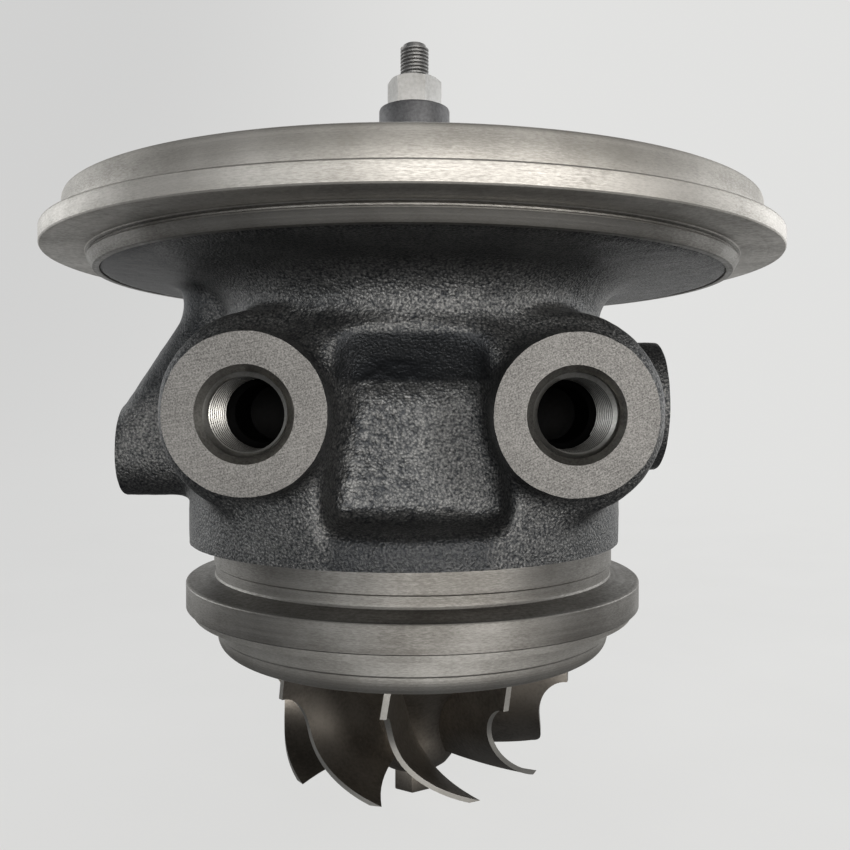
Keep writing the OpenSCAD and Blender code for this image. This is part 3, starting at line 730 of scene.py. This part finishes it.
@dataclass
class Housing:
    """Bearing housing: the casting, its two turned ends and its threaded ports, in millimetres.

    The outlines give radius and height of each corner: the compressor end by hole, step, rim, spigot, face
    and wheel recess, the turbine end by nose, clamp edge and collar, and the bore for cutting. Each pocket
    row holds the two X places of its corner balls, and then their Y and Z.
    """

    compressor_end: Profile = (
        (25, 69), (63.2, 69), (63.4, 66.9), (64.4, 66.9), (64.65, 67.0), (65.75, 68.9), (65.7, 69.1),
        (65.4, 69.3), (65.4, 69.55), (65.7, 69.7), (65.85, 69.85), (66.0, 70.0), (66.3, 70.1), (73.6, 70.1),
        (73.85, 70.2), (74.0, 70.45), (74.0, 73.3), (73.9, 73.5), (73.7, 73.6), (70.2, 73.6), (70.0, 73.8),
        (70.0, 78.9), (69.8, 79.4), (69.4, 79.6), (34.8, 79.6), (34.6, 79.4), (34.6, 77.2), (26.4, 77.2),
        (26.4, 74.6), (25, 74.6),
    )
    turbine_end: Profile = (
        (8.6, -7.9), (15.6, -7.9), (16.0, -7.5), (16.0, 0.0), (47.2, 0.0), (47.4, 0.2), (47.4, 5.0),
        (47.3, 5.2), (47.0, 5.4), (42.2, 6.1), (41.7, 6.3), (41.5, 6.7), (41.5, 8.5), (41.6, 8.7),
        (41.8, 8.8), (41.8, 14.8), (8.6, 14.8),
    )
    step_z: float = 69.9
    split_z: float = 69.0
    cast_r: float = 64.5
    neck_r: float = 38.7
    neck_fillet: float = 8.0
    under_z: float = 66.3
    barrel_r: float = 45.0
    barrel_shift: float = -1.8
    barrel_z: float = 13.2
    shoulder_z: float = 44.0
    shoulder_top: float = 56.0
    boss_r: float = 13.7
    drain_r: float = 13.8
    root: float = 5.0
    inlet_r: float = 9.2
    rib_x: float = 40.0
    rib_r: float = 9.0
    rib_z: float = 46.0
    rib_h: float = 13.7
    pocket_soft: float = 2.5
    pocket_y: float = -33.5
    pocket_rows: tuple[tuple[Span, Span], ...] = (
        ((-11.5, 10.5), (-46.0, 59.1)), ((-11.5, 10.5), (-56.0, 59.1)), ((-14.5, 16.5), (-56.0, 20.0)),
        ((-7.5, 9.9), (-36.0, 42.4)), ((-11.7, 14.4), (-36.0, 22.7)),
    )
    bore: Profile = (
        (0, 0), (8.7, 0), (8.7, 26), (14, 26), (14, 44), (8.7, 44), (8.7, 59.4), (11, 59.4), (11, 62),
        (17, 62), (17, 72), (0, 72),
    )
    voxel: float = 0.8
    passes: int = 26
    ripple: float = 0.09
    lump: float = 0.22
    ports: list[Port] = field(default_factory=cartridge_ports)

    @property
    def milled(self) -> Point:
        """Places of the milled faces: Y of the front bosses, X of the inlet boss and X of the drain boss."""
        left, _, inlet, drain = self.ports
        return left.face[1], inlet.face[0], drain.face[0]

    def neck(self) -> Mesh:
        """Turns the neck and the flange's cast underside."""
        bend, edge = self.neck_fillet, self.cast_r
        fillet = arc(self.neck_r + bend, self.under_z - bend - 0.6, bend, 180, 95, 16)
        return turn([
            (0, 40), (self.neck_r, 40), *fillet, (edge - 0.2, self.under_z + 0.4), (edge, self.under_z + 0.7),
            (edge, self.split_z), (0, self.split_z),
        ])

    def barrel(self) -> Mesh:
        """Turns the barrel and its rounded shoulder."""
        slim = self.neck_r - 1
        drop = self.shoulder_top - self.shoulder_z
        shoulder = [
            (slim + (self.barrel_r - slim) * math.cos(a), self.shoulder_z + drop * math.sin(a))
            for a in (math.radians(7.5 * i) for i in range(13))
        ]
        place = Along.UP.matrix((self.barrel_shift, 0, 0))
        return turn([(0, 9), (self.barrel_r, 9), *shoulder, (0, self.shoulder_top)], 192, place)

    def flare(self, port: Port) -> Mesh:
        """Turns the cast root round one front boss."""
        foot = self.boss_r + self.root
        curve = arc(foot, 8, self.root, 180, 90, 10)
        outline = [(0, 1), (self.boss_r, 1), *curve, (foot, 24), (0, 30)]
        return turn(outline, 96, port.along.matrix(port.face))

    def rib(self) -> list[Mesh]:
        """Wraps the slanted gallery rib over the inlet boss and stands its post under the flange."""
        x, y, z = self.ports[2].face
        foot = Along.UP.matrix((-self.rib_x, 0, self.rib_z))
        boss = rod(self.inlet_r - 0.2, 21, Along.RIGHT.matrix((x - 1, y, z)))
        slope = wrap([boss, rod(self.rib_r, self.rib_h, foot)])
        return [slope, rod(self.rib_r, self.under_z + 0.4 - self.rib_z, foot)]

    def pocket(self) -> Mesh:
        """Wraps the hollow between the two front bosses over balls at its corners, two in each row."""
        balls = []
        for place in ((x, *row) for ends, row in self.pocket_rows for x in ends):
            ball = bmesh.new()
            bmesh.ops.create_icosphere(
                ball, subdivisions=2, radius=self.pocket_soft * MM, matrix=Along.UP.matrix(place)
            )
            balls.append(ball)
        return wrap(balls)

    def drain(self) -> Mesh:
        """Turns the drain boss with its root."""
        r, foot = self.drain_r, self.drain_r + self.root
        curve = arc(foot, 43, self.root, 270, 180, 8)
        outline = [(0, 20), (foot, 20), (foot, 38), *curve, (r, 54), (0, 54)]
        return turn(outline, 96, Along.RIGHT.matrix((0, 0, self.ports[3].face[2])))

    def casting(self) -> Object:
        """Joins the cast forms into one skin, softens its edges and cuts the machined faces and holes."""
        voxel = self.voxel * 1
        passes = self.passes // 1
        left, right, inlet, _ = self.ports
        roots = [self.flare(left), self.flare(right)]
        shells = join([self.neck(), self.barrel(), *self.rib(), self.drain(), *roots])
        obj = to_object(shells, "housing_casting")
        remesh(obj, voxel)
        cut(obj, self.pocket())
        spare = Matrix.Translation((0, 0, -3 * MM))
        bosses = ((left, self.boss_r), (right, self.boss_r), (inlet, self.inlet_r + 0.1))
        add(obj, [rod(r, 30, p.along.matrix(p.face) @ spare) for p, r in bosses])
        remesh(obj, voxel)
        self.soften(obj, passes)
        front, side, end = self.milled
        cut(obj, join([
            block((-46, -60, 22), (46, front, 57)), block((-80, -14, 15), (side, 14, 48)),
            block((end, -18, 22), (62, 18, 60)), block((-60, -60, 0), (60, 60, self.barrel_z)),
        ]))
        cut(obj, join(p.tool() for p in self.ports))
        cut(obj, turn(self.bore, 64))
        return obj

    def soften(self, obj: Object, passes: int) -> None:
        """Rounds the casting's edges and gives its skin a slight unevenness.

        Args:
            obj: The casting.
            passes: Number of smoothing passes.
        """
        bm = bmesh.new()
        bm.from_mesh(obj.data)
        axes = {f"use_axis_{name}": True for name in "xyz"}
        for _ in range(passes):
            bmesh.ops.smooth_vert(bm, verts=bm.verts, factor=0.5, **axes)
        bm.normal_update()
        for v in bm.verts:
            wave = self.ripple * noise.fractal(v.co * 260.0, 0.8, 2.0, 3)
            in_pocket = self.pocket_y - 3.5 < v.co.y / MM < self.pocket_y + 1.5 and abs(v.co.x / MM) < 17
            if in_pocket:
                wave += self.lump * noise.noise(v.co * 620.0)
            v.co += v.normal * (wave * MM)
        bm.to_mesh(obj.data)
        bm.free()

    def mark(self, obj: Object) -> None:
        """Numbers the casting's faces: 0 cast, 1 faced, 2 bored, 3 deep in a bore."""
        front, side, end = self.milled
        flat, near = 0.99, 0.05
        holes = [(p, p.along.matrix(p.face).inverted()) for p in self.ports]
        for poly in obj.data.polygons:
            c, n = poly.center / MM, poly.normal
            faced = (
                (n.y < -flat and abs(c.y - front) < near) or (n.x < -flat and abs(c.x - side) < near)
                or (n.x > flat and abs(c.x - end) < near)
            )
            poly.material_index = int(faced)
            for p, inward in holes:
                local = inward @ poly.center / MM
                if math.hypot(local.x, local.y) < p.mouth_r + 0.1 and near < local.z < p.reach + p.core_r:
                    # faces deep in a bore take painted shade
                    poly.material_index = 3 if local.z > p.depth else 2

    def build(self) -> None:
        """Builds and dresses the housing, which stands for its CAD node."""
        casting = self.casting()
        self.mark(casting)
        settle(casting, Body.HOUSING, [CASTING, FACED, BORE, PAINTED_SHADE], 40.0)
        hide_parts("bearing_housing")
        flange = to_object(turn(self.compressor_end, 320), "compressor_flange")
        # faces under the step take the darker copy of the turned iron: painted shade under the rim
        for poly in flange.data.polygons:
            poly.material_index = int(poly.center.z < self.step_z * MM)
        settle(flange, Body.HOUSING, [TURNED, SHADED_TURNED], 24.0)
        # the turbine collar takes the darker copy of the turned iron: painted shade
        clamp = to_object(turn(self.turbine_end, 256), "turbine_flange")
        settle(clamp, Body.HOUSING, [SHADED_TURNED], 24.0)
        for port in self.ports:
            # thread flanks in the lighter copy of the bored iron as painted highlight, crests in painted
            # shade
            settle(port.thread(), Body.HOUSING, [CUT_THREAD, PAINTED_SHADE], 50.0)


Sheet = Callable[[float, float], Point]


def blade(middle: Sheet, half: Callable[[float, float], float], along: int, across: int) -> Mesh:
    """Makes one blade from two shaped grids joined round their edges.

    Args:
        middle: Radius, height and angle of the blade's middle at (along, across), each 0 to 1.
        half: Half of the thickness there, in millimetres round the shaft.
        along: Faces along the blade.
        across: Faces from hub to tip.

    Returns:
        The blade; its edge faces have material number 1.
    """
    bm = bmesh.new()
    rims = []
    for side in (1, -1):
        made = bmesh.ops.create_grid(bm, x_segments=along, y_segments=across, size=0.5)
        for v in made["verts"]:
            u, w = v.co.x + 0.5, v.co.y + 0.5
            r, z, angle = middle(u, w)
            swing = math.radians(angle) + side * half(u, w) / r
            v.co = Vector((r * math.cos(swing), r * math.sin(swing), z)) * MM
        rims.append({e for v in made["verts"] for e in v.link_edges if e.is_boundary})
    joined = bmesh.ops.bridge_loops(bm, edges=[*rims[0], *rims[1]])
    for f in joined["faces"]:
        f.material_index = 1
    bmesh.ops.recalc_face_normals(bm, faces=bm.faces)
    return bm


def around(make: Callable[[], Mesh], count: int, first: float) -> list[Mesh]:
    """Repeats a shape round the shaft.

    Args:
        make: Makes one shape.
        count: Number of copies.
        first: Angle of the first, in degrees.

    Returns:
        The turned copies.
    """
    shapes = []
    for i in range(count):
        bm = make()
        swing = Matrix.Rotation(math.radians(first + 360.0 * i / count), 4, "Z")
        bmesh.ops.transform(bm, matrix=swing, verts=bm.verts)
        shapes.append(bm)
    return shapes


@dataclass
class TurbineWheel:
    """Cast turbine wheel, in millimetres."""

    blades: int = 9
    tip_r: float = 33.5
    exit_r: float = 27.5
    exit_z: float = -34.1
    tip_z: float = -15.5
    curve_h: float = 7.5
    back_z: float = -9.9
    hub_r: float = 9.4
    wrap_deg: float = 34.6
    power: float = 3.1
    lean_deg: float = 1.6
    phase_deg: float = -97.0
    edge: float = 1.2
    nose_r: float = 4.3
    nose_z: float = -41.5
    boss_r: float = 8.45
    scallop_r: float = 9.0
    cone: Profile = ((9.1, 1.0), (8.6, 2.3), (7.6, 3.6), (6.2, 4.6), (4.9, 5.2), (3.7, 5.5), (0, 5.5))

    @property
    def hub_top(self) -> float:
        """Height of the hub line at the rim."""
        return self.back_z - 1.3

    @property
    def hub_low(self) -> float:
        """Height of the hub line at the exit."""
        return self.exit_z + 2.6

    def hub_line(self, u: float, r_exit: float, lift: float) -> Span:
        """Gives a point of the hub's curve, from its radius at the exit and its lift at the entry."""
        a, rise = u * math.pi / 2, self.hub_top + lift - self.hub_low
        return self.tip_r - (self.tip_r - r_exit) * math.sin(a), self.hub_low + rise * math.cos(a)

    def tip_line(self, u: float) -> Span:
        """Gives a point of the blade's outer edge: a hollow quarter curve, then straight down.

        Args:
            u: Share of the way from entry to exit.

        Returns:
            Radius and height in millimetres.
        """
        if u < 0.5:
            a = u * math.pi
            r = self.tip_r - (self.tip_r - self.exit_r) * math.sin(a)
            return r, self.tip_z - self.curve_h * (1 - math.cos(a))
        low = self.tip_z - self.curve_h
        return self.exit_r, low + (self.exit_z - low) * (2 * u - 1)

    def fall(self, z: float) -> float:
        """Gives the share of the outer edge's height that lies above z."""
        return max(0.0, (self.tip_z - z) / (self.tip_z - self.exit_z))

    def middle(self, u: float, w: float) -> Point:
        """Gives the radius, height and angle of a blade's middle.

        Args:
            u: Share of the way from entry to exit.
            w: Share of the way from hub to tip.

        Returns:
            Radius and height in millimetres, and angle in degrees.
        """
        r, z = (p + (q - p) * w for p, q in zip(self.hub_line(u, self.hub_r - 1, 0.7), self.tip_line(u)))
        lean = self.lean_deg * min(1.0, max(0.0, (self.back_z - z) / (self.back_z - self.tip_z)))
        return r, z, self.wrap_deg * self.fall(z) ** self.power - lean

    def half(self, u: float, w: float) -> float:
        """Gives half of a blade's thickness, measured round the shaft.

        Args:
            u: Share of the way from entry to exit.
            w: Share of the way from hub to tip.

        Returns:
            Half of the thickness in millimetres.
        """
        r, z, _ = self.middle(u, w)
        rate = self.wrap_deg * self.power / (self.tip_z - self.exit_z) * self.fall(z) ** (self.power - 1)
        slant = min(2.8, math.hypot(1.0, r * math.radians(rate)))
        return (self.edge / 2 + 0.5 * min(1.0, 4 * u) * (1 - w) ** 2) * (1 - 0.3 * u) * slant

    def hub(self) -> Mesh:
        """Turns the hub and its back, and puts the six-sided nose under it."""
        rim, low = self.tip_r - 1.5, self.hub_low
        curve = [self.hub_line(i / 30, self.hub_r, 0.0) for i in range(2, 29)]
        cone = [(r, low - drop) for r, drop in self.cone]
        hub = turn([
            (0, 0), (self.boss_r, 0), (self.boss_r, self.back_z + 1), (self.boss_r + 1, self.back_z),
            (rim, self.back_z), (rim, self.hub_top + 0.1), *curve, *cone,
        ], 160)
        nose = rod(self.nose_r, low - 5 - self.nose_z, Along.UP.matrix((0, 0, self.nose_z)), 6)
        sharp = [e for e in nose.edges if len(e.link_faces) == 2]
        bmesh.ops.bevel(
            nose, geom=sharp, offset=0.25 * MM, segments=2, profile=0.5, affect="EDGES", clamp_overlap=True,
            material=-1,
        )
        return join([hub, nose])

    def build(self) -> None:
        """Builds and dresses the wheel, which stands for its CAD node."""
        obj = to_object(self.hub(), "turbine_rotor")
        place = Along.UP.matrix((self.tip_r + 1, 0, self.hub_low))
        between = self.phase_deg + 180 / self.blades
        scallops = around(lambda: rod(self.scallop_r, 40, place, 48), self.blades, between)
        for tool in scallops:
            cut(obj, tool)
        add(obj, around(lambda: blade(self.middle, self.half, 28, 9), self.blades, self.phase_deg))
        settle(obj, Body.ROTOR, [TURBINE, GROUND], 40.0)
        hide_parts("turbine_wheel")


@dataclass
class CompressorWheel:
    """Compressor wheel with full blades and splitters, in millimetres."""

    blades: int = 6
    rim_r: float = 34.0
    entry_r: float = 24.5
    nose_r: float = 7.5
    top_z: float = 103.8
    entry_z: float = 91.0
    tip_height: float = 4.0
    wrap_deg: float = 62.0
    back_z: float = 77.9
    disc: float = 0.9
    bore_r: float = 3.22
    foot_z: float = 77.0

    def middle(self, start: float) -> Sheet:
        """Makes the middle sheet of a blade.

        Args:
            start: Share of the full blade's length that is left out at the entry.

        Returns:
            A function that gives radius, height and angle.
        """
        rim = self.rim_r - 0.25
        root, tip = self.back_z + 0.3, self.back_z + self.disc + self.tip_height

        def sheet(u: float, w: float) -> Point:
            """Gives one point of the sheet."""
            s = start + (1 - start) * u
            c, d = math.cos(s * math.pi / 2), math.sin(s * math.pi / 2)
            hub = (rim - (rim - self.nose_r + 0.8) * c, self.entry_z + 1 - (self.entry_z + 1 - root) * d)
            top = (rim - (rim - self.entry_r) * c, self.entry_z - (self.entry_z - tip) * d)
            r, z = (p + (q - p) * w for p, q in zip(hub, top))
            return r, z, self.wrap_deg * (0.75 * s + 0.25 * s * s) - 10 * (1 - s) * w

        return sheet

    def half(self, u: float, w: float) -> float:
        """Gives half of a blade's thickness, thin at the entry and the tip."""
        return (0.35 + 0.6 * (1 - w) ** 1.8) * (0.6 + 0.4 * min(1.0, 5 * u)) * 1.2

    def build(self) -> None:
        """Builds and dresses the wheel, which stands for its CAD node."""
        top = self.entry_z + 1
        fall = top - self.back_z - self.disc
        curve = [
            (self.rim_r - (self.rim_r - self.nose_r) * math.cos(a), top - fall * math.sin(a))
            for a in (math.radians(90 - 3 * i) for i in range(1, 30))
        ]
        bore, rim, nose, end = self.bore_r, self.rim_r, self.nose_r, self.top_z
        hub = turn([
            (bore, self.foot_z), (10, self.foot_z), (11, self.back_z), (rim, self.back_z),
            (rim, self.back_z + self.disc), *curve, (nose, top), (nose, end - 0.6), (nose - 0.15, end - 0.2),
            (nose - 0.6, end), (bore, end),
        ], 160)
        pitch = 360.0 / self.blades
        full = around(lambda: blade(self.middle(0.0), self.half, 28, 8), self.blades, 0.0)
        split = around(lambda: blade(self.middle(0.34), self.half, 20, 8), self.blades, pitch / 2)
        obj = to_object(join([hub, *full, *split]), "compressor_rotor")
        settle(obj, Body.ROTOR, [WHEEL, WHEEL], 40.0)
        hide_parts("compressor_wheel")


@dataclass
class ShaftEnd:
    """Rotor shaft with its threaded end, in millimetres."""

    thread_r: float = 3.0
    root_r: float = 2.5
    pitch: float = 0.75
    stub_r: float = 3.2
    stub_top: float = 102.3
    top_z: float = 117.5
    journals: Profile = (
        (0, 0), (8.45, 0), (8.45, 1.95), (6.85, 1.95), (6.85, 3.85), (8.45, 3.85), (8.45, 8.5), (7.95, 9.0),
        (5.0, 9.0), (5.0, 25.0), (4.7, 25.3), (4.7, 44.1), (5.0, 44.4), (5.0, 59.9), (3.2, 59.9),
    )

    def build(self) -> None:
        """Builds and dresses the shaft and its thread, which stand for the CAD node."""
        root, stub, top = self.root_r, self.stub_top, self.top_z
        tail = [(root, stub), (root, top - 0.9), (root - 0.1, top - 0.2), (root - 0.4, top), (0, top)]
        shaft = to_object(turn([*self.journals, (self.stub_r, stub), *tail], 96), "shaft_body")
        settle(shaft, Body.ROTOR, [THREAD], 32.0)
        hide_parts("rotor_shaft")
        start = stub + 0.6
        turns = (top - 0.7 - start) / self.pitch
        here = Matrix.Identity(4)
        thread = helix("shaft_thread", root - 0.04, self.thread_r, self.pitch, turns, start, here)
        settle(thread, Body.ROTOR, [THREAD, THREAD], 50.0)


@dataclass
class KeptNodes:
    """CAD nodes that show as they are, each with its finish."""

    finishes: dict[str, Finish] = field(default_factory=lambda: {
        "heat_shield": SHIELD, "shaft_nut": NUT,
        "turbine_seal_ring": IRON_RING, "compressor_seal_ring": IRON_RING,
        "turbine_bush": BRONZE, "compressor_bush": BRONZE, "thrust_bearing": BRONZE, "bush_circlips": SPRING,
        "thrust_screws": SPRING, "seal_plate_circlip": SPRING, "thrust_washer": STEEL, "thrust_collar": STEEL,
        "seal_plate": STEEL, "seal_sleeve": STEEL, "oil_deflector": SHIELD, "seal_plate_o_ring": RUBBER,
    })

    def dress(self) -> None:
        """Puts each finish on its node."""
        for name, finish in self.finishes.items():
            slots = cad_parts[name].data.materials
            slots.clear()
            slots.append(painted(finish))
            LOG.info("%s: %s", name, finish.name)


@dataclass(frozen=True)
class Lamp:
    """One soft light that points at the part, in millimetres and watts."""

    name: str
    place: Point
    size: Span
    power: float
    tint: Colour = (1.0, 1.0, 1.0)
    target: Point = (0.0, 0.0, 35.0)

    def build(self) -> None:
        """Adds the light."""
        data = bpy.data.lights.new(self.name, "AREA")
        data.shape = "ELLIPSE"
        data.size, data.size_y = (side * MM for side in self.size)
        data.energy, data.color = self.power, self.tint
        obj = bpy.data.objects.new(self.name, data)
        bpy.context.scene.collection.objects.link(obj)
        obj.visible_camera = False
        obj.location = Vector(self.place) * MM
        aim = Vector(self.target) * MM - obj.location
        obj.rotation_euler = aim.to_track_quat("-Z", "Y").to_euler()


WARM = (1.0, 0.98, 0.95)
COOL = (0.97, 0.99, 1.0)
LAMPS = (
    Lamp("front", (55, -800, 90), (460, 220), 3.7, WARM),
    Lamp("strip", (520, -680, 90), (260, 240), 3.7, WARM),
    Lamp("fill", (-470, -680, 80), (280, 240), 1.25, COOL),
    Lamp("left", (-560, 180, 130), (480, 260), 0.6, COOL),
    Lamp("right", (560, 180, 130), (480, 260), 0.8, (0.98, 0.99, 1.0)),
    Lamp("top", (60, 60, 1000), (600, 600), 0.4),
    Lamp("back", (60, 620, 700), (500, 500), 0.7),
)


@dataclass
class Studio:
    """Pale sweep, soft lights and the camera at the photograph's place, in millimetres and degrees."""

    floor_z: float = -41.6
    sweep_r: float = 260.0
    bend_r: float = 1150.0
    thick: float = 20.0
    sky: Colour = (0.92, 0.95, 1.0)
    sky_power: float = 0.07
    eye: Point = (1.92, -192.0, 41.17)
    pitch: float = -1.35
    yaw: float = -0.16
    roll: float = -0.17
    focal_px: float = 892.8
    frame_px: float = 850.0
    sensor: float = 36.0

    def floor(self) -> None:
        """Turns the floor with its rising edge, whose rear half alone shows in reflections."""
        z, low = self.floor_z, self.floor_z - self.thick
        r, bend = self.sweep_r, self.bend_r
        edge = arc(r, z + bend, bend, -90, 0, 40)
        back = arc(r, z + bend, bend + self.thick, 0, -90, 40)
        disc = to_object(turn([(0, z), (r, z), (r, low), (0, low)], 96), "floor")
        rear, fore = (turn([*edge, *back], 96) for _ in range(2))
        for half, side in ((rear, -1), (fore, 1)):
            gone = [f for f in half.faces if f.calc_center_median().y * side > 0]
            bmesh.ops.delete(half, geom=gone, context="FACES")
        sweep, surround = to_object(rear, "backdrop"), to_object(fore, "surround")
        for obj in (disc, sweep, surround):
            smooth(obj, 40)
            obj.data.materials.append(painted(PAPER))
            obj.visible_diffuse = False
            obj.visible_glossy = obj is sweep
            obj.visible_shadow = False

    def camera(self) -> None:
        """Sets the camera from the fitted place, turn and focal length."""
        data = bpy.data.cameras.new("camera")
        data.sensor_width = self.sensor
        data.lens = self.focal_px * self.sensor / self.frame_px
        data.clip_start, data.clip_end = 0.01, 20.0
        obj = bpy.data.objects.new("camera", data)
        bpy.context.scene.collection.objects.link(obj)
        yaw, pitch, roll = (math.radians(a) for a in (self.yaw, self.pitch, self.roll))
        side = Vector((math.cos(yaw), math.sin(yaw), 0))
        ahead = Vector((-math.sin(yaw), math.cos(yaw), 0))
        up = Vector((0, 0, 1))
        look = ahead * math.cos(pitch) + up * math.sin(pitch)
        top = up * math.cos(pitch) - ahead * math.sin(pitch)
        right = side * math.cos(roll) - top * math.sin(roll)
        crown = side * math.sin(roll) + top * math.cos(roll)
        turned = Matrix((right, crown, -look)).transposed().to_4x4()
        obj.matrix_world = Matrix.Translation(Vector(self.eye) * MM) @ turned
        bpy.context.scene.camera = obj

    def build(self) -> None:
        """Builds the floor, lights, surroundings and camera."""
        self.floor()
        for lamp in LAMPS:
            lamp.build()
        world = bpy.data.worlds.new("surroundings")
        world.use_nodes = True
        shade = world.node_tree.nodes["Background"]
        shade.inputs["Color"].default_value = (*self.sky, 1.0)
        shade.inputs["Strength"].default_value = self.sky_power
        scene = bpy.context.scene
        scene.world = world
        scene.view_settings.view_transform = "Standard"
        self.camera()


def main() -> None:
    """Builds every piece in order."""
    logging.basicConfig(level=logging.INFO, format="%(name)s: %(message)s")
    Studio().build()
    Housing().build()
    TurbineWheel().build()
    CompressorWheel().build()
    ShaftEnd().build()
    KeptNodes().dress()


if __name__ == "__main__":
    main()
